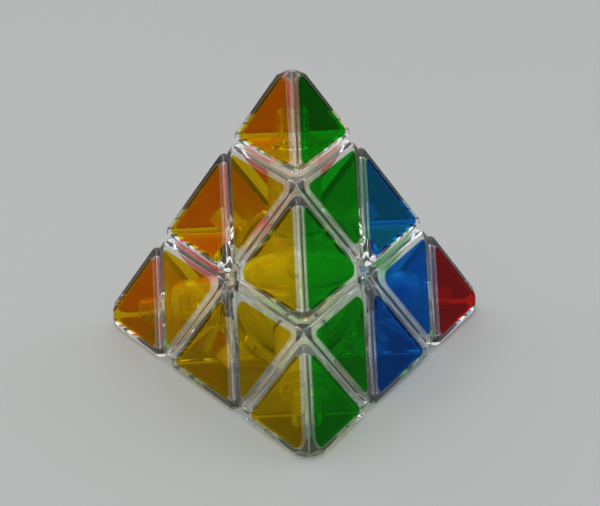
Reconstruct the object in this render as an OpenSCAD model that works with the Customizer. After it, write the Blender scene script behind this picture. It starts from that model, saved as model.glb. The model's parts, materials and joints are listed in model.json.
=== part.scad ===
// Four-sided pyramid twisty puzzle: hollow clear pieces round a ball core, with a colour film on every outside face.
// +Z is up and a corner points to -Y. The origin is the middle of the core, where all the turning axes meet.

/* [Pyramid] */
// Length of one side over its rounded corners
side = 96.5; // [94:0.5:110]
// Gap between neighbouring pieces
gap = 0.5; // [0.4:0.05:0.6]
// Radius of the pyramid's four corners
apex_r = 2.7; // [1.6:0.1:2.7]
// Radius of the pieces' other corners
corner_r = 2.2; // [1.6:0.1:2.4]
// Radius of the pieces' edges
edge_r = 1.4; // [0.6:0.1:1.5]
// Distance from the core's middle to a layer's cut, as a share of that to a face
layer_share = 0.313; // [0.31:0.001:0.335]
// Distance from the core's middle to a tip's cut, as a share of that to a face
tip_share = 1.718; // [1.66:0.001:1.72]

/* [Clear shells] */
// Wall thickness
wall = 1.6; // [1.4:0.1:1.8]

/* [Colour films] */
// Thickness of a film
film_t = 0.2; // [0.1:0.05:0.4]
// Distance from a film to the cuts and to the sharp sides of the face
film_inset = 2.35; // [2.3:0.05:3]
// Radius of a film's corner towards the pyramid's corner or the middle of the face
film_inner_r = 2.4; // [2.2:0.1:3]
// Radius of a film's other corners
film_r = 1.2; // [1:0.1:2.5]
// Room round a film in its recess
film_fit = 0.05; // [0.02:0.01:0.1]

/* [Feet] */
// Depth of the cut between the feet of two layers, from the middle of the core
foot_cut = 2.3; // [2.1:0.05:2.5]
// Thickness of the feet that hold the edge pieces
foot_t = 3.7; // [3:0.1:3.7]
// Room above and below the feet
foot_fit = 0.3; // [0.2:0.05:0.35]
// Radius of the peg that an edge shell is pressed on
peg_r = 2.4; // [2:0.1:2.6]
// Length of that peg
peg_length = 7; // [5:0.5:8]

/* [Core and tension] */
// Radius of the core ball
core_r = 13; // [12.6:0.1:13]
// Outer radius of the spring tubes
tube_r = 6; // [5.8:0.1:6]
// Inner radius of the spring tubes
tube_bore_r = 4.4; // [4.3:0.1:4.5]
// Radius of the axis screws
screw_r = 1.25; // [1:0.05:1.4]
// Radius of the screw heads
screw_head_r = 2.8; // [2.5:0.1:3]
// Radius of the washers on the springs
washer_r = 3.6; // [3.4:0.1:3.9]
// Mean radius of the springs
spring_r = 3; // [2.8:0.1:3.2]
// Radius of the spring wire
wire_r = 0.35; // [0.3:0.05:0.4]
// Turns of a spring
spring_turns = 5; // [4:1:6]

/* [Tips] */
// Radius of the stem that a tip turns on
stem_r = 2.9; // [2.6:0.1:3]
// Radius of the head that holds the stem
snap_r = 3.9; // [3.6:0.1:4]
// Height of the post inside a tip
post_height = 9; // [6:0.5:9.5]

/* [Hidden] */
$fn = 48;

// The corners, as numbers and as unit vectors from the middle of the core.
top = 0;
left = 1;
right = 2;
front = 3;
low = -1 / 3;
corner_dirs = [
    [0, 0, 1],
    [-sqrt(2 / 3), sqrt(2) / 3, low],
    [sqrt(2 / 3), sqrt(2) / 3, low],
    [0, -2 * sqrt(2) / 3, low]
];

// A face has the number of the corner that it is opposite, and it faces away from it.
base_face = top;
right_face = left;
left_face = right;
back_face = front;

sharp_side = side + apex_r * (2 * sqrt(6) - 2);
face_distance = sharp_side / (2 * sqrt(6));
layer_cut = face_distance * layer_share;
tip_cut = face_distance * tip_share;

// On a face, measured from its middle towards a corner: the corner, where the cuts cross, and each film's place and size.
face_corner = 2 * sqrt(2) * face_distance;
in_plane = sqrt(8 / 9);
layer_line = (layer_cut - face_distance / 3) / in_plane;
tip_line = (tip_cut - face_distance / 3) / in_plane;
tip_film_inradius = (face_corner - tip_line) / 3 - film_inset;
tip_film_at = tip_line + film_inset + tip_film_inradius;
axial_film_inradius = (2 * layer_line + tip_line) / 3 - film_inset;
axial_film_at = tip_line - film_inset - axial_film_inradius;
edge_film_inradius = (face_corner / 2 - 2 * layer_line) / 3 - film_inset;
edge_film_at = film_inset + edge_film_inradius - face_corner / 2;

foot_low_r = core_r + foot_fit;
foot_high_r = foot_low_r + foot_t;
axial_under_r = foot_high_r + foot_fit;
edge_under_r = axial_under_r + 3;
tube_fit = 0.3;

tube_low = core_r + 0.2;
tube_floor_t = 2;
floor_hole_r = screw_r + 0.35;
axial_ceiling = tip_cut - gap / 2 - wall;
stem_hole_r = stem_r + 0.2;

spring_low = tube_low + tube_floor_t + 0.1;
washer_low = 21;
washer_t = 0.6;
washer_hole_r = screw_r + 0.1;
screw_end = 5;
screw_head_low = washer_low + washer_t;
screw_head_t = 2.4;
drive_w = 0.8;
drive_length = 3.6;
drive_depth = 1.4;

snap_t = 2.2;
snap_low = axial_ceiling - snap_t - 0.45;
plug_low = tip_cut + gap / 2;
post_r = 3.2;
post_bore_r = 2;
flange_r = 5;
flange_t = 1.2;

everywhere = 300;
clear_plastic = [0.85, 0.88, 0.86, 0.4];
film_yellow = "goldenrod";
film_green = "green";
film_red = "firebrick";
film_blue = "royalblue";
steel = "silver";

function others(c) = [for (i = [0:3]) if (i != c) i];
function rest(a, b) = [for (i = [0:3]) if (i != a && i != b) i];
function unit(v) = v / norm(v);

// A plane is [outward unit normal, distance from the middle of the core].
function tip_planes(c) = concat(
    [[-corner_dirs[c], -plug_low]],
    [for (f = others(c)) [-corner_dirs[f], face_distance]]
);
function axial_planes(c) = concat(
    [[corner_dirs[c], tip_cut - gap / 2], [-corner_dirs[c], -layer_cut - gap / 2]],
    [for (f = others(c)) [-corner_dirs[f], face_distance]],
    [for (f = others(c)) [corner_dirs[f], layer_cut - gap / 2]]
);
function edge_planes(a, b) = concat(
    [for (c = [a, b]) [-corner_dirs[c], -layer_cut - gap / 2]],
    [for (f = rest(a, b)) [-corner_dirs[f], face_distance]]
);
function moved_in(planes, t) = [for (p = planes) [p[0], p[1] - t]];

// The flat that touches the middle of a rounding of radius r between planes.
function flat_on(ps, r) =
    let (s = [for (p = ps) 1] * [for (p = ps) p[0]], d = [for (p = ps) 1] * [for (p = ps) p[1]])
    [unit(s), (d - len(ps) * r) / norm(s) + r];
function pairs(ps, low, high) = [
    for (i = [0:len(ps) - 1], j = [0:len(ps) - 1])
        let (turn = ps[i][0] * ps[j][0])
        if (i < j && turn > low && turn < high) [ps[i], ps[j]]
];
// On the four-sided pieces, faces meet in pairs at edges and in threes at corners. The corner across from the first plane has its own radius.
function pyramid_flats(ps, first_r = corner_r) = concat(
    [for (q = pairs(ps, -0.5, 0.5)) flat_on(q, edge_r)],
    [for (i = [0:3]) flat_on([for (j = [0:3]) if (j != i) ps[j]], i == 0 ? first_r : corner_r)]
);
// On the eight-sided pieces, faces across a corner turn away from each other, and faces across an edge don't.
function axial_flats(ps) = concat(
    [for (q = pairs(ps, 0.1, 0.5)) flat_on(q, edge_r)],
    [for (q = pairs(ps, -0.5, -0.1)) flat_on(q, corner_r)]
);

module along(v) {
    rotate([0, acos(v.z), atan2(v.y, v.x)]) children();
}

module half_space(n, d) {
    along(n) translate([-everywhere / 2, -everywhere / 2, d - everywhere]) cube(everywhere);
}

module within(planes) {
    intersection_for (p = planes) half_space(p[0], p[1]);
}

module rod(low, high, r) {
    translate([0, 0, low]) cylinder(h = high - low, r = r);
}

// Puts a drawing on face f, with its +Y towards corner c, so far from the middle of the face.
module on_face(f, c, distance, facing) {
    n = -corner_dirs[f];
    to_corner = unit(corner_dirs[c] - corner_dirs[f] * (corner_dirs[c] * corner_dirs[f]));
    y = to_corner * facing;
    x = cross(y, n);
    p = n * face_distance + to_corner * distance;
    multmatrix([
        [x[0], y[0], n[0], p[0]],
        [x[1], y[1], n[1], p[1]],
        [x[2], y[2], n[2], p[2]],
        [0, 0, 0, 1]
    ]) children();
}

module film_plate(inradius, grow, high) {
    translate([0, 0, -film_t]) linear_extrude(height = film_t + high)
        polygon([
            for (k = [0:2], j = [-3:3])
                let (t = 90 + 120 * k, r = k == 0 ? film_inner_r : film_r, c = 2 * (inradius - r))
                c * [cos(t), sin(t)] + (r + grow) * [cos(t + 20 * j), sin(t + 20 * j)]
        ]);
}

module tip_film(c, f, grow = 0, high = 0) {
    on_face(f, c, tip_film_at, 1) film_plate(tip_film_inradius, grow, high);
}

module axial_film(c, f, grow = 0, high = 0) {
    on_face(f, c, axial_film_at, -1) film_plate(axial_film_inradius, grow, high);
}

module edge_film(a, b, f, grow = 0, high = 0) {
    c = [for (i = rest(a, b)) if (i != f) i][0];
    on_face(f, c, edge_film_at, 1) film_plate(edge_film_inradius, grow, high);
}

module core_ball() {
    color(clear_plastic) difference() {
        sphere(r = core_r);
        for (v = corner_dirs) along(v) rod(screw_end, core_r + 1, screw_r);
    }
}

module axis_screws() {
    color(steel) for (v = corner_dirs) along(v) difference() {
        union() {
            rod(screw_end, screw_head_low, screw_r);
            rod(screw_head_low, screw_head_low + screw_head_t, screw_head_r);
        }
        for (turn = [0, 90])
            rotate([0, 0, turn])
                translate([-drive_length / 2, -drive_w / 2, screw_head_low + screw_head_t - drive_depth])
                    cube([drive_length, drive_w, drive_depth + 1]);
    }
}

module spring_washers() {
    color(steel) for (v = corner_dirs) along(v) difference() {
        rod(washer_low, washer_low + washer_t, washer_r);
        rod(washer_low - 1, washer_low + 1, washer_hole_r);
    }
}

module spring() {
    sides = 6;
    steps = 12 * spring_turns;
    low = spring_low + wire_r;
    rise = washer_low - wire_r - low;
    points = [
        for (i = [0:steps], j = [0:sides - 1])
            let (t = 360 * spring_turns * i / steps, w = 360 * j / sides, r = spring_r + wire_r * cos(w))
            [r * cos(t), r * sin(t), low + rise * i / steps + wire_r * sin(w)]
    ];
    walls = [
        for (i = [0:steps - 1], j = [0:sides - 1])
            let (k = (j + 1) % sides, a = i * sides)
            [a + j, a + sides + j, a + sides + k, a + k]
    ];
    ends = [[for (j = [0:sides - 1]) j], [for (j = [sides - 1:-1:0]) steps * sides + j]];
    polyhedron(points = points, faces = concat(walls, ends));
}

module axis_springs() {
    color(steel) for (v = corner_dirs) along(v) spring();
}

// A hollow piece: its underside and its floor follow a sphere round the core, and the children are cut out of it.
module hollow_piece(planes, flats, under_r) {
    difference() {
        within(concat(planes, flats));
        sphere(r = under_r);
        difference() {
            within(moved_in(planes, wall));
            sphere(r = under_r + wall);
        }
        children();
    }
}

module axial_shell(c) {
    planes = axial_planes(c);
    color(clear_plastic) hollow_piece(planes, axial_flats(planes), axial_under_r) {
        along(corner_dirs[c]) rod(core_r, axial_under_r + 2 * wall, tube_r);
        along(corner_dirs[c]) rod(axial_ceiling - 1, tip_cut + 1, stem_hole_r);
        for (f = others(c)) axial_film(c, f, film_fit, 1);
    }
}

// The tube stands through the axial's floor, up to its ceiling. It holds the screw, the spring and the head of the tip's stem.
module axial_tube(c) {
    color(clear_plastic) along(corner_dirs[c]) difference() {
        rod(tube_low, axial_ceiling, tube_r);
        rod(tube_low + tube_floor_t, axial_ceiling + 1, tube_bore_r);
        rod(tube_low - 1, axial_ceiling, floor_hole_r);
    }
}

module tip_shell(c) {
    planes = tip_planes(c);
    color(clear_plastic) hollow_piece(planes, pyramid_flats(planes, apex_r), core_r) {
        along(corner_dirs[c]) rod(plug_low - 1, plug_low + wall + 1, stem_r);
        for (f = others(c)) tip_film(c, f, film_fit, 1);
    }
}

// The stem turns in the axial's ceiling, its flange lies on the tip's floor, and its post stands up inside the tip.
module tip_plug(c) {
    floor_top = plug_low + wall;
    color(clear_plastic) along(corner_dirs[c]) difference() {
        union() {
            rod(snap_low, snap_low + snap_t, snap_r);
            rod(snap_low, floor_top + flange_t, stem_r);
            rod(floor_top, floor_top + flange_t, flange_r);
            rod(floor_top, floor_top + post_height, post_r);
        }
        rod(floor_top, floor_top + post_height + 1, post_bore_r);
    }
}

module edge_shell(a, b) {
    planes = edge_planes(a, b);
    color(clear_plastic) hollow_piece(planes, pyramid_flats(planes), edge_under_r) {
        along(unit(corner_dirs[a] + corner_dirs[b])) rod(core_r, edge_under_r + 2 * wall, peg_r);
        for (f = rest(a, b)) edge_film(a, b, f, film_fit, 1);
    }
}

// The foot hooks under the two axials beside the edge piece, its neck carries the shell, and its peg stands up through the shell's floor.
module edge_foot(a, b) {
    planes = edge_planes(a, b);
    color(clear_plastic) difference() {
        union() {
            intersection() {
                sphere(r = foot_high_r);
                within(concat(
                    [for (c = [a, b]) [-corner_dirs[c], -foot_cut - gap / 2]],
                    [for (c = rest(a, b)) [corner_dirs[c], foot_cut - gap / 2]]
                ));
            }
            intersection() {
                sphere(r = edge_under_r);
                within(concat(planes, pyramid_flats(planes)));
            }
            along(unit(corner_dirs[a] + corner_dirs[b])) rod(foot_low_r + 1, edge_under_r + peg_length, peg_r);
        }
        sphere(r = foot_low_r);
        for (c = [a, b]) along(corner_dirs[c]) rod(core_r - 2, edge_under_r, tube_r + tube_fit);
    }
}

// The base, right, left and back faces. The right-hand layer has been turned a third, and its tip two thirds.
function face_colour(f) = [film_blue, film_green, film_yellow, film_red][f];
function turned_layer_colour(f) = [film_red, film_blue, film_yellow, film_green][f];
function turned_tip_colour(f) = [film_green, film_red, film_yellow, film_blue][f];

module tip_films(c) {
    for (f = others(c)) color(c == right ? turned_tip_colour(f) : face_colour(f)) tip_film(c, f);
}

module axial_colour_film(c, f) {
    color(c == right ? turned_layer_colour(f) : face_colour(f)) axial_film(c, f);
}

module edge_colour_film(a, b, f) {
    color(a == right || b == right ? turned_layer_colour(f) : face_colour(f)) edge_film(a, b, f);
}

core_ball();
axis_screws();
axis_springs();
spring_washers();
axial_shell(top);  // top_axial_shell
axial_tube(top);  // top_axial_tube
tip_shell(top);  // top_tip_shell
tip_plug(top);  // top_tip_plug
tip_films(top);  // top_tip_films
axial_colour_film(top, left_face);  // top_axial_film_left
axial_colour_film(top, right_face);  // top_axial_film_right
axial_colour_film(top, back_face);  // top_axial_film_back
axial_shell(left);  // left_axial_shell
axial_tube(left);  // left_axial_tube
tip_shell(left);  // left_tip_shell
tip_plug(left);  // left_tip_plug
tip_films(left);  // left_tip_films
axial_colour_film(left, left_face);  // left_axial_film_left
axial_colour_film(left, back_face);  // left_axial_film_back
axial_colour_film(left, base_face);  // left_axial_film_base
axial_shell(right);  // right_axial_shell
axial_tube(right);  // right_axial_tube
tip_shell(right);  // right_tip_shell
tip_plug(right);  // right_tip_plug
tip_films(right);  // right_tip_films
axial_colour_film(right, right_face);  // right_axial_film_right
axial_colour_film(right, back_face);  // right_axial_film_back
axial_colour_film(right, base_face);  // right_axial_film_base
axial_shell(front);  // front_axial_shell
axial_tube(front);  // front_axial_tube
tip_shell(front);  // front_tip_shell
tip_plug(front);  // front_tip_plug
tip_films(front);  // front_tip_films
axial_colour_film(front, left_face);  // front_axial_film_left
axial_colour_film(front, right_face);  // front_axial_film_right
axial_colour_film(front, base_face);  // front_axial_film_base
edge_shell(top, left);  // top_left_edge_shell
edge_foot(top, left);  // top_left_edge_foot
edge_colour_film(top, left, left_face);  // top_left_edge_film_left
edge_colour_film(top, left, back_face);  // top_left_edge_film_back
edge_shell(top, right);  // top_right_edge_shell
edge_foot(top, right);  // top_right_edge_foot
edge_colour_film(top, right, right_face);  // top_right_edge_film_right
edge_colour_film(top, right, back_face);  // top_right_edge_film_back
edge_shell(top, front);  // top_front_edge_shell
edge_foot(top, front);  // top_front_edge_foot
edge_colour_film(top, front, left_face);  // top_front_edge_film_left
edge_colour_film(top, front, right_face);  // top_front_edge_film_right
edge_shell(left, front);  // left_front_edge_shell
edge_foot(left, front);  // left_front_edge_foot
edge_colour_film(left, front, left_face);  // left_front_edge_film_left
edge_colour_film(left, front, base_face);  // left_front_edge_film_base
edge_shell(left, right);  // left_right_edge_shell
edge_foot(left, right);  // left_right_edge_foot
edge_colour_film(left, right, back_face);  // left_right_edge_film_back
edge_colour_film(left, right, base_face);  // left_right_edge_film_base
edge_shell(right, front);  // right_front_edge_shell
edge_foot(right, front);  // right_front_edge_foot
edge_colour_film(right, front, right_face);  // right_front_edge_film_right
edge_colour_film(right, front, base_face);  // right_front_edge_film_base
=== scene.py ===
# Clear pyramid twisty puzzle: rounded clear shells, colour films, and the tubes, feet and springs inside.
import itertools
import json
import math

import bmesh
import bpy
from mathutils import Matrix, Vector

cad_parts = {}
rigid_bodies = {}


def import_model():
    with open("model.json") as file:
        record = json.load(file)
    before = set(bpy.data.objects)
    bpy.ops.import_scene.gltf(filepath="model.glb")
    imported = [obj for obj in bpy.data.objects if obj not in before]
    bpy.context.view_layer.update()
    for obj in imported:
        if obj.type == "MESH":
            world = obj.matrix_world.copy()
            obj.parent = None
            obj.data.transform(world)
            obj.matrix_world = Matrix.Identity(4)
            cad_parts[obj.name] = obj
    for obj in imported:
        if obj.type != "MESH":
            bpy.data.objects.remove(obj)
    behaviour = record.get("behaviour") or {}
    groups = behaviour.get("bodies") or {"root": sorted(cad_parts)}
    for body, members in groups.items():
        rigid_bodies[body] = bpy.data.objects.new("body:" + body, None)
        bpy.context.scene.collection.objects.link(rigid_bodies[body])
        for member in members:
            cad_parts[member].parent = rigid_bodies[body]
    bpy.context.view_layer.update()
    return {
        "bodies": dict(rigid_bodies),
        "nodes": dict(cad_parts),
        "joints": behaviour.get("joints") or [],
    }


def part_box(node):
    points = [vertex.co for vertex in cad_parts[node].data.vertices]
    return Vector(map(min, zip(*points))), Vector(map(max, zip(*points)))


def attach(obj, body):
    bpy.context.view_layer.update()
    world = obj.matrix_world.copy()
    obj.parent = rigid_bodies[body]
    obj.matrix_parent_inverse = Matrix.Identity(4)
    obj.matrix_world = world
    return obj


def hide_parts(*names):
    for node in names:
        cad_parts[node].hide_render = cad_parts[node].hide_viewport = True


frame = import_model()
scene = bpy.context.scene
mm = 0.001

# From the frame come the turning axes, and how far the faces are from the core.
axisOf = {joint["name"]: Vector(joint["axis"]).normalized() for joint in frame["joints"]}
cornerNames = ("top", "left", "right", "front")
cornerDirs = {name: axisOf[name + "_layer"] for name in cornerNames}
faceOpposite = {"top": "base", "left": "right", "right": "left", "front": "back"}
cornerOpposite = {face: name for name, face in faceOpposite.items()}
edgeNames = [
    tuple(body.removesuffix("_edge").split("_")) for body in frame["bodies"] if body.endswith("_edge")
]
faceDistance = -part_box("left_axial_shell")[0].z

shellValues = {
    "layerShare": 0.313,  # where the cuts lie, as shares of the distance to a face
    "tipShare": 1.718,
    "gap": 0.5 * mm,
    "wall": 1.6 * mm,
    "apexRadius": 2.7 * mm,  # the pyramid's four corners
    "cornerRadius": 1.4 * mm,
    "axialCornerRadius": 2.2 * mm,
    "meetingRadius": 3.4 * mm,  # where six pieces meet in the middle of a face
    "edgeRadius": 1.2 * mm,
    "roundingSteps": 4,
    "insideRadius": 0.3 * mm,
    "insideSteps": 2,
    "meetingFlats": (0.25, 0.5, 0.75),  # shares of the way round a rounding
    "axialUnder": 17.3 * mm,  # radius of the hollow under an axial, round the core
    "edgeUnder": 20.35 * mm,
    "tubeHole": 6.04 * mm,
    "stemHoleBelow": 3.1 * mm,
    "stemHoleInTip": 2.96 * mm,
    "pegHole": 2.44 * mm,
}
layerCut = faceDistance * shellValues["layerShare"]
tipCut = faceDistance * shellValues["tipShare"]
# a plane further out than these lies on a face, or on the cut between a tip and its axial
faceLimit = faceDistance * 0.99
tipLimit = tipCut * 0.9


def others(*names):
    return [name for name in cornerNames if name not in names]


def tipPlanes(corner):
    gap = shellValues["gap"]
    return [(-cornerDirs[corner], -tipCut - gap / 2)] + [
        (-cornerDirs[name], faceDistance) for name in others(corner)
    ]


def axialPlanes(corner):
    gap = shellValues["gap"]
    planes = [(cornerDirs[corner], tipCut - gap / 2), (-cornerDirs[corner], -layerCut - gap / 2)]
    for name in others(corner):
        planes.append((-cornerDirs[name], faceDistance))
        planes.append((cornerDirs[name], layerCut - gap / 2))
    return planes


def edgePlanes(first, second):
    gap = shellValues["gap"]
    return [(-cornerDirs[name], -layerCut - gap / 2) for name in (first, second)] + [
        (-cornerDirs[name], faceDistance) for name in others(first, second)
    ]


def movedIn(planes, distance):
    return [(normal, d - distance) for normal, d in planes]


def flatsOnCorner(planes, radius):
    # flats that touch a ball of that radius in the corner between three planes
    rows = Matrix([normal for normal, d in planes])
    ball = rows.inverted() @ Vector([d - radius for normal, d in planes])
    middle = sum((normal for normal, d in planes), Vector()).normalized()
    normals = [middle]
    for i in range(3):
        face = planes[i][0]
        edge = (planes[i - 1][0] + planes[i - 2][0]).normalized()
        normals += [(middle + face).normalized(), (middle + edge).normalized()]
    return [(normal, ball.dot(normal) + radius) for normal in normals]


def flatsRound(a, b, radius, shares):
    # flats that touch a rounding of that radius between two planes, at these shares of the way round it
    cosine = a[0].dot(b[0])
    ends = Matrix(((1, cosine), (cosine, 1)))
    heights = ends.inverted() @ Vector((a[1] - radius, b[1] - radius))
    middle = a[0] * heights[0] + b[0] * heights[1]
    flats = []
    for share in shares:
        normal = a[0].slerp(b[0], share)
        flats.append((normal, middle.dot(normal) + radius))
    return flats


def cornerFlats(planes, isAxial):
    values = shellValues
    if not isAxial:
        flats = []
        for three in itertools.combinations(planes, 3):
            isApex = all(d > faceLimit for normal, d in three)
            flats += flatsOnCorner(three, values["apexRadius" if isApex else "cornerRadius"])
        return flats
    flats = []
    for a, b in itertools.combinations(planes, 2):
        if -0.5 < a[0].dot(b[0]) < -0.1:
            bothCuts = a[1] < faceLimit and b[1] < faceLimit
            atMeeting = bothCuts or a[1] > tipLimit or b[1] > tipLimit
            radius = values["meetingRadius" if atMeeting else "axialCornerRadius"]
            flats += flatsRound(a, b, radius, values["meetingFlats"])
    return flats


def cornersWithin(planes):
    # every point where three planes meet inside all the others, with the normals that meet there
    found = {}
    for a, b, c in itertools.combinations(planes, 3):
        rows = Matrix((a[0], b[0], c[0]))
        if abs(rows.determinant()) < 1e-6:
            continue
        point = rows.inverted() @ Vector((a[1], b[1], c[1]))
        if all(normal.dot(point) <= d + 1e-7 for normal, d in planes):
            key = tuple(round(x, 6) for x in point)
            found[key] = point
    return [
        (point, [normal for normal, d in planes if abs(normal.dot(point) - d) < 1e-6])
        for point in found.values()
    ]


def patch(normals, steps):
    # directions spread over the part of a ball between these normals
    middle = sum(normals, Vector()).normalized()
    side = middle.orthogonal().normalized()
    up = middle.cross(side)
    ring = sorted(normals, key=lambda n: math.atan2(n.dot(up), n.dot(side)))
    spread = {}
    for i, first in enumerate(ring):
        second = ring[(i + 1) % len(ring)]
        for u in range(steps + 1):
            for v in range(steps + 1 - u):
                w = steps - u - v
                direction = (first * u + second * v + middle * w).normalized()
                spread[tuple(round(x, 5) for x in direction)] = direction
    return list(spread.values())


def markWalls(mesh, planes):
    # the walls between a tip and its axial get the second material
    mesh.materials.clear()
    reach = 1.2 * shellValues["wall"]
    for polygon in mesh.polygons:
        onWall = any(
            abs(polygon.normal.dot(normal)) > 0.97 and abs(polygon.center.dot(normal) - d) < reach
            for normal, d in planes
            if abs(d) > tipLimit
        )
        polygon.material_index = 1 if onWall else 0


def newMesh(name, build):
    bm = bmesh.new()
    build(bm)
    mesh = bpy.data.meshes.new(name)
    bm.to_mesh(mesh)
    bm.free()
    return mesh


def newObject(name, mesh):
    obj = bpy.data.objects.new(name, mesh)
    scene.collection.objects.link(obj)
    return obj


def roundedHull(name, planes, radius, steps):
    def build(bm):
        for point, normals in cornersWithin(movedIn(planes, radius)):
            for direction in patch(normals, steps):
                bm.verts.new(point + direction * radius)
        hull = bmesh.ops.convex_hull(bm, input=bm.verts)
        loose = [v for v in hull["geom_interior"] if isinstance(v, bmesh.types.BMVert)]
        bmesh.ops.delete(bm, geom=loose, context="VERTS")
        bmesh.ops.dissolve_limit(bm, angle_limit=math.radians(0.2), verts=bm.verts, edges=bm.edges)
        bmesh.ops.recalc_face_normals(bm, faces=bm.faces)

    return newObject(name, newMesh(name, build))


def alongMatrix(direction):
    return direction.to_track_quat("Z", "Y").to_matrix().to_4x4()


def rodMesh(name, direction, low, high, radius, sides=64):
    def build(bm):
        bmesh.ops.create_cone(
            bm, cap_ends=True, segments=sides, radius1=radius, radius2=radius, depth=high - low
        )
        bmesh.ops.translate(bm, verts=bm.verts, vec=(0, 0, (high + low) / 2))
        bmesh.ops.transform(bm, matrix=alongMatrix(direction), verts=bm.verts)

    return newObject(name, newMesh(name, build))


def ballMesh(name, radius):
    def build(bm):
        bmesh.ops.create_icosphere(bm, subdivisions=5, radius=radius)

    return newObject(name, newMesh(name, build))


def evaluated(obj):
    # the object's mesh with its modifiers applied, and the object itself removed
    graph = bpy.context.evaluated_depsgraph_get()
    mesh = bpy.data.meshes.new_from_object(obj.evaluated_get(graph))
    bpy.data.objects.remove(obj)
    return mesh


def cut(obj, tools, name):
    for tool in tools:
        modifier = obj.modifiers.new("cut", "BOOLEAN")
        modifier.operation = "DIFFERENCE"
        modifier.solver = "EXACT"
        modifier.object = tool
    bpy.context.view_layer.update()
    mesh = evaluated(obj)
    for tool in tools:
        bpy.data.objects.remove(tool)
    return newObject(name, mesh)


def smoothed(obj, sharpAngle=32):
    mesh = obj.data
    mesh.shade_smooth()
    mesh.set_sharp_from_angle(angle=math.radians(sharpAngle))
    modifier = obj.modifiers.new("even", "WEIGHTED_NORMAL")
    modifier.keep_sharp = True
    modifier.weight = 100
    bpy.context.view_layer.update()
    return evaluated(obj)


def turnTo(first, second):
    # the turn that brings the top corner to first and the front corner to second
    start = Matrix((cornerDirs["top"], cornerDirs["front"], cornerDirs["right"])).transposed()
    for third in others(first, second):
        end = Matrix((cornerDirs[first], cornerDirs[second], cornerDirs[third])).transposed()
        turn = end @ start.inverted()
        if turn.determinant() > 0:
            return turn.to_4x4()


def placed(name, mesh, turn, body, slot, replaced, *materials):
    copy = mesh.copy()
    copy.transform(turn)
    for material in materials:
        copy.materials.append(material)
    obj = newObject(name, copy)
    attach(obj, body)
    for node in replaced:
        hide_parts(node)
    return obj


def groupSocket(tree, name, direction, kind, value=None):
    socket = tree.interface.new_socket(name=name, in_out=direction, socket_type=kind)
    if value is not None:
        socket.default_value = value
    return socket


def handlingGroup():
    # finger marks and fine scratches: a roughness and a height
    tree = bpy.data.node_groups.new("handlingMarks", "ShaderNodeTree")
    groupSocket(tree, "Smudge scale", "INPUT", "NodeSocketFloat", 60.0)
    groupSocket(tree, "Scratch scale", "INPUT", "NodeSocketFloat", 900.0)
    groupSocket(tree, "Clean roughness", "INPUT", "NodeSocketFloat", 0.03)
    groupSocket(tree, "Marked roughness", "INPUT", "NodeSocketFloat", 0.16)
    groupSocket(tree, "Roughness", "OUTPUT", "NodeSocketFloat")
    groupSocket(tree, "Height", "OUTPUT", "NodeSocketFloat")
    nodes, links = tree.nodes, tree.links
    source = nodes.new("NodeGroupInput")
    result = nodes.new("NodeGroupOutput")
    where = nodes.new("ShaderNodeTexCoord")
    smudge = nodes.new("ShaderNodeTexNoise")
    smudge.inputs["Detail"].default_value = 3
    smudge.inputs["Distortion"].default_value = 0.8
    links.new(where.outputs["Object"], smudge.inputs["Vector"])
    links.new(source.outputs["Smudge scale"], smudge.inputs["Scale"])
    stretch = nodes.new("ShaderNodeMapping")
    stretch.inputs["Scale"].default_value = (1, 6, 1)
    stretch.inputs["Rotation"].default_value = (0.5, 0.3, 0.8)
    scratch = nodes.new("ShaderNodeTexNoise")
    scratch.inputs["Detail"].default_value = 2
    links.new(where.outputs["Object"], stretch.inputs["Vector"])
    links.new(stretch.outputs["Vector"], scratch.inputs["Vector"])
    links.new(source.outputs["Scratch scale"], scratch.inputs["Scale"])
    spread = nodes.new("ShaderNodeMapRange")
    spread.inputs["From Min"].default_value = 0.48
    spread.inputs["From Max"].default_value = 0.78
    links.new(smudge.outputs["Fac"], spread.inputs["Value"])
    links.new(source.outputs["Clean roughness"], spread.inputs["To Min"])
    links.new(source.outputs["Marked roughness"], spread.inputs["To Max"])
    links.new(spread.outputs["Result"], result.inputs["Roughness"])
    links.new(scratch.outputs["Fac"], result.inputs["Height"])
    return tree


def mouldGroup():
    # slow ripples of moulded plastic, and a faint change of its tint
    tree = bpy.data.node_groups.new("mouldFlow", "ShaderNodeTree")
    groupSocket(tree, "Scale", "INPUT", "NodeSocketFloat", 110.0)
    groupSocket(tree, "Clear tint", "INPUT", "NodeSocketColor", (0.97, 0.98, 0.975, 1))
    groupSocket(tree, "Deep tint", "INPUT", "NodeSocketColor", (0.9, 0.93, 0.92, 1))
    groupSocket(tree, "Color", "OUTPUT", "NodeSocketColor")
    groupSocket(tree, "Height", "OUTPUT", "NodeSocketFloat")
    nodes, links = tree.nodes, tree.links
    source = nodes.new("NodeGroupInput")
    result = nodes.new("NodeGroupOutput")
    where = nodes.new("ShaderNodeTexCoord")
    flow = nodes.new("ShaderNodeTexNoise")
    flow.inputs["Detail"].default_value = 1
    links.new(where.outputs["Object"], flow.inputs["Vector"])
    links.new(source.outputs["Scale"], flow.inputs["Scale"])
    mix = nodes.new("ShaderNodeMix")
    mix.data_type = "RGBA"
    links.new(flow.outputs["Fac"], mix.inputs["Factor"])
    links.new(source.outputs["Clear tint"], mix.inputs["A"])
    links.new(source.outputs["Deep tint"], mix.inputs["B"])
    links.new(mix.outputs["Result"], result.inputs["Color"])
    links.new(flow.outputs["Fac"], result.inputs["Height"])
    return tree


handlingMarks = handlingGroup()
mouldFlow = mouldGroup()


def startMaterial(name):
    material = bpy.data.materials.new(name)
    material.use_nodes = True
    tree = material.node_tree
    tree.nodes.clear()
    out = tree.nodes.new("ShaderNodeOutputMaterial")
    shader = tree.nodes.new("ShaderNodeBsdfPrincipled")
    tree.links.new(shader.outputs["BSDF"], out.inputs["Surface"])
    return material, tree, shader, out


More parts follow.
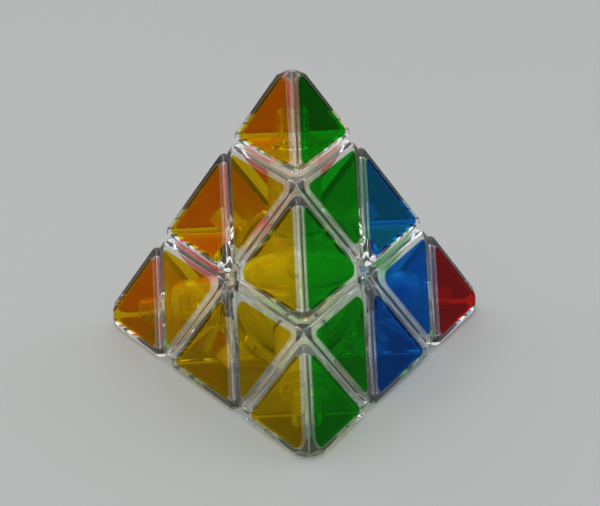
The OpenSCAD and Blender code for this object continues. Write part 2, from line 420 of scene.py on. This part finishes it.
def addGroup(tree, group, **values):
    node = tree.nodes.new("ShaderNodeGroup")
    node.node_tree = group
    for name, value in values.items():
        node.inputs[name.replace("_", " ")].default_value = value
    return node


def bumpInto(tree, shader, height, strength, distance):
    bump = tree.nodes.new("ShaderNodeBump")
    bump.inputs["Strength"].default_value = strength
    bump.inputs["Distance"].default_value = distance
    tree.links.new(height, bump.inputs["Height"])
    tree.links.new(bump.outputs["Normal"], shader.inputs["Normal"])


def letLightThrough(tree, shader, out, tint):
    # lamps shine through instead of leaving the inside dark
    light = tree.nodes.new("ShaderNodeLightPath")
    through = tree.nodes.new("ShaderNodeBsdfTransparent")
    through.inputs["Color"].default_value = tint
    mix = tree.nodes.new("ShaderNodeMixShader")
    tree.links.new(light.outputs["Is Shadow Ray"], mix.inputs["Fac"])
    tree.links.new(shader.outputs["BSDF"], mix.inputs[1])
    tree.links.new(through.outputs["BSDF"], mix.inputs[2])
    tree.links.new(mix.outputs["Shader"], out.inputs["Surface"])


clearValues = {
    "ior": 1.49,
    "shadowTint": (0.93, 0.945, 0.94, 1),
    "ripple": 0.12,
}


def clearPlastic(name, cleanRoughness, markedRoughness, clearTint, deepTint, clearShare):
    material, tree, shader, out = startMaterial(name)
    flow = addGroup(tree, mouldFlow, Clear_tint=clearTint, Deep_tint=deepTint)
    marks = addGroup(
        tree, handlingMarks, Clean_roughness=cleanRoughness, Marked_roughness=markedRoughness
    )
    tree.links.new(flow.outputs["Color"], shader.inputs["Base Color"])
    tree.links.new(marks.outputs["Roughness"], shader.inputs["Roughness"])
    bumpInto(tree, shader, flow.outputs["Height"], clearValues["ripple"], 0.4 * mm)
    shader.inputs["Transmission Weight"].default_value = clearShare
    shader.inputs["IOR"].default_value = clearValues["ior"]
    letLightThrough(tree, shader, out, clearValues["shadowTint"])
    return material


filmValues = {
    "thickness": 0.14 * mm,
    "lift": 0.01 * mm,
    "innerCornerRadius": 2.4 * mm,  # towards the pyramid's corner or the middle of the face
    "cornerRadius": 1.2 * mm,
    "cornerSteps": 8,
    "inset": 2.35 * mm,  # to the cuts and to the sharp sides of the face
    "paintedGlintWidth": 0.5 * mm,  # a thin pale edge round the film: a painted highlight standing for the light that the shell's recess wall catches
    # how much of what is behind the painted highlight hides at the film's outer edge
    "paintedGlintHides": 0.45,
}
filmColours = {
    # the colour shown, the tint given to what is behind, and how much of that is hidden
    "yellow": ((0.37, 0.24, 0.004, 1), (0.8, 0.56, 0.006, 1), 0.12),
    "green": ((0.002, 0.165, 0.004, 1), (0.006, 0.53, 0.008, 1), 0.22),
    "red": ((0.28, 0.006, 0.006, 1), (0.88, 0.016, 0.01, 1), 0.3),
    "blue": ((0.002, 0.04, 0.27, 1), (0.005, 0.25, 0.78, 1), 0.2),
}


def colourFilm(colour):
    shown, tint, hides = filmColours[colour]
    material, tree, shader, out = startMaterial("film" + colour.title())
    deep = tuple(0.82 * part for part in shown[:3]) + (1,)
    flow = addGroup(tree, mouldFlow, Scale=160.0, Clear_tint=shown, Deep_tint=deep)
    marks = addGroup(tree, handlingMarks, Clean_roughness=0.12, Marked_roughness=0.3)
    # painted highlight: towards its outer edge the film is mixed to a paler colour and hides more of what
    # is behind, standing for the light caught by the shell's recess wall
    paintedGlint = tree.nodes.new("ShaderNodeAttribute")
    paintedGlint.attribute_name = "paintedGlint"
    edge = tree.nodes.new("ShaderNodeMapRange")
    edge.inputs["From Min"].default_value = 0.35
    edge.inputs["From Max"].default_value = 0.9
    tree.links.new(paintedGlint.outputs["Fac"], edge.inputs["Value"])
    pale = tree.nodes.new("ShaderNodeMix")
    pale.data_type = "RGBA"
    pale.inputs["B"].default_value = tuple(0.4 + 0.6 * part for part in shown[:3]) + (1,)
    tree.links.new(edge.outputs["Result"], pale.inputs["Factor"])
    tree.links.new(flow.outputs["Color"], pale.inputs["A"])
    tree.links.new(pale.outputs["Result"], shader.inputs["Base Color"])
    tree.links.new(marks.outputs["Roughness"], shader.inputs["Roughness"])
    shader.inputs["Specular IOR Level"].default_value = 0.35
    bumpInto(tree, shader, marks.outputs["Height"], 0.05, 0.02 * mm)
    through = tree.nodes.new("ShaderNodeBsdfTransparent")
    through.inputs["Color"].default_value = tuple(math.sqrt(part) for part in tint[:3]) + (1,)
    mix = tree.nodes.new("ShaderNodeMixShader")
    share = tree.nodes.new("ShaderNodeMapRange")
    share.inputs["To Min"].default_value = 1 - math.sqrt(1 - hides)
    share.inputs["To Max"].default_value = filmValues["paintedGlintHides"]
    tree.links.new(edge.outputs["Result"], share.inputs["Value"])
    tree.links.new(share.outputs["Result"], mix.inputs["Fac"])
    tree.links.new(through.outputs["BSDF"], mix.inputs[1])
    tree.links.new(shader.outputs["BSDF"], mix.inputs[2])
    tree.links.new(mix.outputs["Shader"], out.inputs["Surface"])
    return material


def brightSteel():
    material, tree, shader, out = startMaterial("brightSteel")
    marks = addGroup(
        tree, handlingMarks, Clean_roughness=0.2, Marked_roughness=0.42, Scratch_scale=2500.0
    )
    flow = addGroup(
        tree, mouldFlow, Clear_tint=(0.62, 0.62, 0.63, 1), Deep_tint=(0.5, 0.5, 0.52, 1)
    )
    tree.links.new(flow.outputs["Color"], shader.inputs["Base Color"])
    tree.links.new(marks.outputs["Roughness"], shader.inputs["Roughness"])
    bumpInto(tree, shader, marks.outputs["Height"], 0.15, 0.03 * mm)
    shader.inputs["Metallic"].default_value = 1
    return material


plasticKinds = {
    # clean and marked roughness, clear and deep tint, and the share that is clear
    "shellPlastic": (0.02, 0.09, (0.985, 0.99, 0.988, 1), (0.95, 0.965, 0.96, 1), 0.985),
    "wallPlastic": (0.06, 0.18, (0.97, 0.975, 0.965, 1), (0.93, 0.93, 0.9, 1), 0.93),
    "innerPlastic": (0.05, 0.16, (0.95, 0.965, 0.96, 1), (0.88, 0.91, 0.9, 1), 0.84),
    "plugPlastic": (0.04, 0.12, (0.97, 0.98, 0.975, 1), (0.93, 0.95, 0.945, 1), 0.965),
}
shellPlastic, wallPlastic, innerPlastic, plugPlastic = [
    clearPlastic(name, *kind) for name, kind in plasticKinds.items()
]
steel = brightSteel()
films = {colour: colourFilm(colour) for colour in filmColours}
print("materials made")


def hollowShell(name, planes, under, holes):
    values = shellValues
    steps = values["roundingSteps"]
    outside = planes + cornerFlats(planes, len(planes) > 4)
    outer = roundedHull(name + "Outside", outside, values["edgeRadius"], steps)
    inside = movedIn(planes, values["wall"])
    inner = roundedHull(name + "Inside", inside, values["insideRadius"], values["insideSteps"])
    if under:
        inner = cut(inner, [ballMesh("floor", under + values["wall"])], name + "Inside")
        outer = cut(outer, [ballMesh("under", under)], name + "Outside")
    tools = [inner] + [rodMesh("hole", *hole) for hole in holes]
    mesh = smoothed(cut(outer, tools, name))
    markWalls(mesh, planes)
    return mesh


def makeShells():
    values = shellValues
    wall = values["wall"]
    top = cornerDirs["top"]
    middle = (top + cornerDirs["front"]).normalized()
    axialUnder, edgeUnder = values["axialUnder"], values["edgeUnder"]
    # each hole: its direction, where it starts and ends along it, and its radius
    axialHoles = [
        (top, axialUnder - 3 * mm, axialUnder + 1.5 * wall, values["tubeHole"]),
        (top, tipCut - 2 * wall, tipCut + wall, values["stemHoleBelow"]),
    ]
    tipHoles = [(top, tipCut - wall, tipCut + 1.5 * wall, values["stemHoleInTip"])]
    edgeHoles = [(middle, edgeUnder - wall, edgeUnder + 1.5 * wall, values["pegHole"])]
    axialMesh = hollowShell("axialShell", axialPlanes("top"), axialUnder, axialHoles)
    tipMesh = hollowShell("tipShell", tipPlanes("top"), 0, tipHoles)
    edgeMesh = hollowShell("edgeShell", edgePlanes("top", "front"), edgeUnder, edgeHoles)
    for corner in cornerNames:
        turn = turnTo(corner, others(corner)[0])
        for kind, mesh in (("axial", axialMesh), ("tip", tipMesh)):
            node = f"{corner}_{kind}_shell"
            body = f"{corner}_{kind}"
            placed(node + "_clear", mesh, turn, body, "clear_plastic", [node], shellPlastic, wallPlastic)
    for first, second in edgeNames:
        body = f"{first}_{second}_edge"
        node = body + "_shell"
        turn = turnTo(first, second)
        placed(node + "_clear", edgeMesh, turn, body, "clear_plastic", [node], shellPlastic, wallPlastic)


makeShells()
print("clear shells made")


def filmMesh(inradius):
    values = filmValues
    outline = []
    for corner in (90, 210, 330):
        radius = values["innerCornerRadius" if corner == 90 else "cornerRadius"]
        reach = 2 * (inradius - radius)
        for step in range(values["cornerSteps"] + 1):
            at = math.radians(corner)
            turn = math.radians(corner - 60 + 120 * step / values["cornerSteps"])
            x = reach * math.cos(at) + radius * math.cos(turn)
            y = reach * math.sin(at) + radius * math.sin(turn)
            outline.append((x, y))

    def build(bm):
        # painted highlight: a strip round the top face, 1 at the outer edge and 0 inside, which the film
        # material turns paler
        paintedGlint = bm.verts.layers.float.new("paintedGlint")
        low = [bm.verts.new((x, y, values["lift"])) for x, y in outline]
        high = [bm.verts.new((x, y, values["lift"] + values["thickness"])) for x, y in outline]
        bm.faces.new(list(reversed(low)))
        count = len(outline)
        for i in range(count):
            j = (i + 1) % count
            bm.faces.new((low[i], low[j], high[j], high[i]))
        for vertex in high:
            vertex[paintedGlint] = 1
        middle = Vector((0, 0, values["lift"] + values["thickness"]))
        inner = []
        for vertex in high:
            inwards = (middle - vertex.co).normalized() * values["paintedGlintWidth"]
            inner.append(bm.verts.new(vertex.co + inwards))
        for i in range(count):
            j = (i + 1) % count
            bm.faces.new((high[i], high[j], inner[j], inner[i]))
        bm.faces.new(inner)
        bmesh.ops.recalc_face_normals(bm, faces=bm.faces)

    return smoothed(newObject("film", newMesh("film", build)), sharpAngle=60)


def onFace(face, corner, distance, facing):
    normal = -cornerDirs[cornerOpposite[face]]
    towards = cornerDirs[corner] - normal * cornerDirs[corner].dot(normal)
    towards.normalize()
    yAxis = towards * facing
    xAxis = yAxis.cross(normal)
    turn = Matrix((xAxis, yAxis, normal)).transposed().to_4x4()
    return Matrix.Translation(normal * faceDistance + towards * distance) @ turn


def filmColour(pieceCorners, face, isTip=False):
    # the right layer is turned by a third, and its tip by two thirds
    home = {"left": "yellow", "right": "green", "back": "red", "base": "blue"}
    layerTurned = {"left": "yellow", "right": "blue", "back": "green", "base": "red"}
    tipTurned = {"left": "yellow", "right": "red", "back": "blue", "base": "green"}
    if "right" not in pieceCorners:
        return home[face]
    return tipTurned[face] if isTip else layerTurned[face]


def makeFilms():
    # on a face, from its middle towards a corner: the corner, and where the cuts cross
    inset = filmValues["inset"]
    inPlane = math.sqrt(8 / 9)
    faceCorner = 2 * math.sqrt(2) * faceDistance
    layerLine = (layerCut - faceDistance / 3) / inPlane
    tipLine = (tipCut - faceDistance / 3) / inPlane
    tipSize = (faceCorner - tipLine) / 3 - inset
    axialSize = (2 * layerLine + tipLine) / 3 - inset
    edgeSize = (faceCorner / 2 - 2 * layerLine) / 3 - inset
    tipPlace = tipLine + inset + tipSize
    axialPlace = tipLine - inset - axialSize
    edgePlace = inset + edgeSize - faceCorner / 2
    tipFilm, axialFilm, edgeFilm = filmMesh(tipSize), filmMesh(axialSize), filmMesh(edgeSize)
    for corner in cornerNames:
        for face in (faceOpposite[name] for name in others(corner)):
            colour = filmColour((corner,), face, True)
            node = f"{corner}_tip_films"
            name = f"{corner}_tip_film_{face}_{colour}"
            turn = onFace(face, corner, tipPlace, 1)
            placed(name, tipFilm, turn, f"{corner}_tip", "film_" + colour, [node], films[colour])
            colour = filmColour((corner,), face)
            node = f"{corner}_axial_film_{face}"
            name = f"{node}_{colour}"
            turn = onFace(face, corner, axialPlace, -1)
            placed(name, axialFilm, turn, f"{corner}_axial", "film_" + colour, [node], films[colour])
    for first, second in edgeNames:
        body = f"{first}_{second}_edge"
        for away in others(first, second):
            face = faceOpposite[away]
            far = others(first, second, away)[0]
            colour = filmColour((first, second), face)
            node = f"{body}_film_{face}"
            name = f"{node}_{colour}"
            turn = onFace(face, far, edgePlace, 1)
            placed(name, edgeFilm, turn, body, "film_" + colour, [node], films[colour])


makeFilms()
print("colour films made")

springValues = {
    "Radius": 3.0 * mm,
    "Wire radius": 0.35 * mm,
    "Turns": 5.0,
    "Low": 15.66 * mm,  # from the middle of the core to the start of the wire's middle line
    "Height": 4.98 * mm,
}
stepsPerTurn = 40
wireSides = 12


def springTree():
    tree = bpy.data.node_groups.new("springWire", "GeometryNodeTree")
    groupSocket(tree, "Geometry", "INPUT", "NodeSocketGeometry")
    for name in springValues:
        groupSocket(tree, name, "INPUT", "NodeSocketFloat")
    groupSocket(tree, "Geometry", "OUTPUT", "NodeSocketGeometry")
    nodes, links = tree.nodes, tree.links
    source = nodes.new("NodeGroupInput")
    result = nodes.new("NodeGroupOutput")
    helix = nodes.new("GeometryNodeCurveSpiral")
    helix.inputs["Resolution"].default_value = stepsPerTurn
    links.new(source.outputs["Turns"], helix.inputs["Rotations"])
    links.new(source.outputs["Radius"], helix.inputs["Start Radius"])
    links.new(source.outputs["Radius"], helix.inputs["End Radius"])
    links.new(source.outputs["Height"], helix.inputs["Height"])
    ring = nodes.new("GeometryNodeCurvePrimitiveCircle")
    ring.inputs["Resolution"].default_value = wireSides
    links.new(source.outputs["Wire radius"], ring.inputs["Radius"])
    sweep = nodes.new("GeometryNodeCurveToMesh")
    sweep.inputs["Fill Caps"].default_value = True
    links.new(helix.outputs["Curve"], sweep.inputs["Curve"])
    links.new(ring.outputs["Curve"], sweep.inputs["Profile Curve"])
    lift = nodes.new("ShaderNodeCombineXYZ")
    links.new(source.outputs["Low"], lift.inputs["Z"])
    move = nodes.new("GeometryNodeTransform")
    links.new(sweep.outputs["Mesh"], move.inputs["Geometry"])
    links.new(lift.outputs["Vector"], move.inputs["Translation"])
    realize = nodes.new("GeometryNodeRealizeInstances")
    finish = nodes.new("GeometryNodeSetMaterial")
    finish.inputs["Material"].default_value = steel
    links.new(move.outputs["Geometry"], realize.inputs["Geometry"])
    links.new(realize.outputs["Geometry"], finish.inputs["Geometry"])
    links.new(finish.outputs["Geometry"], result.inputs["Geometry"])
    return tree


def makeSprings():
    holder = newObject("spring", bpy.data.meshes.new("spring"))
    modifier = holder.modifiers.new("wire", "NODES")
    tree = springTree()
    modifier.node_group = tree
    for item in tree.interface.items_tree:
        if item.in_out == "INPUT" and item.name in springValues:
            modifier[item.identifier] = springValues[item.name]
    bpy.context.view_layer.update()
    wire = evaluated(holder)
    wire.shade_smooth()
    four = bmesh.new()
    for direction in cornerDirs.values():
        turned = wire.copy()
        turned.transform(alongMatrix(direction))
        four.from_mesh(turned)
    bmesh.ops.recalc_face_normals(four, faces=four.faces)
    mesh = bpy.data.meshes.new("springs")
    four.to_mesh(mesh)
    four.free()
    mesh.materials.append(steel)
    springs = newObject("axis_springs_wire", mesh)
    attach(springs, "core")
    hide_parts("axis_springs")


makeSprings()
print("springs made")

# the inner pieces that keep their CAD shape
for name, node in frame["nodes"].items():
    if name in ("axis_screws", "spring_washers"):
        node.data.materials.clear()
        node.data.materials.append(steel)
    elif name.endswith(("_tube", "_foot")) or name == "core_ball":
        node.data.materials.clear()
        node.data.materials.append(innerPlastic)
    elif name.endswith("_plug"):
        node.data.materials.clear()
        node.data.materials.append(plugPlastic)
print("inner pieces finished")

stageValues = {
    "floorColour": (0.335, 0.342, 0.334, 1),
    "horizonLight": 0.16,
    "overheadLight": 1.25,
    "backdropLight": 0.9,
    "floorGap": 0.2 * mm,
}
# each lamp: its size, power, place and aim
lampValues = {
    "key": ((0.9, 0.9), 5, (-0.45, -0.35, 0.95), (0, -0.1, 0)),
    "fill": ((0.8, 0.5), 1.2, (0.9, 0.2, 0.6), (0, 0, 0)),
}


def makeStage():
    values = stageValues
    material, tree, shader, out = startMaterial("paleTable")
    shader.inputs["Roughness"].default_value = 0.7
    shader.inputs["Specular IOR Level"].default_value = 0.15
    pale = values["floorColour"]
    deep = tuple(0.97 * part for part in pale[:3]) + (1,)
    grain = addGroup(tree, mouldFlow, Scale=4.0, Clear_tint=pale, Deep_tint=deep)
    tree.links.new(grain.outputs["Color"], shader.inputs["Base Color"])

    def build(bm):
        bmesh.ops.create_grid(bm, x_segments=1, y_segments=1, size=4)
        bmesh.ops.translate(bm, verts=bm.verts, vec=(0, 0, -faceDistance - values["floorGap"]))

    floor = newObject("table", newMesh("table", build))
    floor.data.materials.append(material)
    world = bpy.data.worlds.new("softRoom")
    scene.world = world
    world.use_nodes = True
    tree = world.node_tree
    sky = tree.nodes["Background"]
    where = tree.nodes.new("ShaderNodeTexCoord")
    split = tree.nodes.new("ShaderNodeSeparateXYZ")
    rise = tree.nodes.new("ShaderNodeMapRange")
    rise.interpolation_type = "SMOOTHSTEP"
    rise.inputs["From Min"].default_value = 0.1
    rise.inputs["From Max"].default_value = 0.75
    rise.inputs["To Min"].default_value = values["horizonLight"]
    rise.inputs["To Max"].default_value = values["overheadLight"]
    sky.inputs["Color"].default_value = (0.97, 0.985, 1, 1)
    tree.links.new(where.outputs["Generated"], split.inputs["Vector"])
    tree.links.new(split.outputs["Z"], rise.inputs["Value"])
    backdrop = tree.nodes.new("ShaderNodeMapRange")
    backdrop.interpolation_type = "SMOOTHSTEP"
    backdrop.inputs["From Min"].default_value = 0.6
    backdrop.inputs["From Max"].default_value = 0.9
    backdrop.inputs["To Max"].default_value = values["backdropLight"]
    both = tree.nodes.new("ShaderNodeMath")
    tree.links.new(split.outputs["Y"], backdrop.inputs["Value"])
    tree.links.new(rise.outputs["Result"], both.inputs[0])
    tree.links.new(backdrop.outputs["Result"], both.inputs[1])
    tree.links.new(both.outputs["Value"], sky.inputs["Strength"])


def addLight(name, size, power, place, aim):
    light = bpy.data.lights.new(name, "AREA")
    light.shape = "RECTANGLE"
    light.size, light.size_y = size
    light.energy = power
    obj = newObject(name, light)
    obj.location = place
    obj.rotation_mode = "QUATERNION"
    obj.rotation_quaternion = (Vector(place) - Vector(aim)).to_track_quat("Z", "Y")
    return obj


cameraValues = {
    "azimuth": 1.86,
    "elevation": 24.64,
    "distance": 739 * mm,
    "lens": 173.73,
    "aimRight": 0.92 * mm,
    "aimUp": 8.1 * mm,
    "roll": -1.58,
    "sensorWidth": 36,
    "clip": (0.05, 20),
}


def makeCamera():
    values = cameraValues
    azimuth = math.radians(values["azimuth"])
    elevation = math.radians(values["elevation"])
    level = math.cos(elevation)
    look = Vector((math.sin(azimuth) * level, math.cos(azimuth) * level, -math.sin(elevation)))
    place = -look * values["distance"]
    right = look.cross(Vector((0, 0, 1))).normalized()
    up = right.cross(look)
    look = (right * values["aimRight"] + up * values["aimUp"] - place).normalized()
    right = look.cross(Vector((0, 0, 1))).normalized()
    up = right.cross(look)
    roll = math.radians(values["roll"])
    rolledRight = right * math.cos(roll) + up * math.sin(roll)
    rolledUp = up * math.cos(roll) - right * math.sin(roll)
    data = bpy.data.cameras.new("camera")
    data.sensor_width = values["sensorWidth"]
    data.lens = values["lens"]
    data.clip_start, data.clip_end = values["clip"]
    camera = newObject("camera", data)
    turn = Matrix((rolledRight, rolledUp, -look)).transposed().to_4x4()
    camera.matrix_world = Matrix.Translation(place) @ turn
    scene.camera = camera


makeStage()
for name, lamp in lampValues.items():
    addLight(name, *lamp)
makeCamera()
scene.view_settings.view_transform = "Standard"
scene.cycles.max_bounces = 36
scene.cycles.transmission_bounces = 32
scene.cycles.transparent_max_bounces = 64
print("stage made")
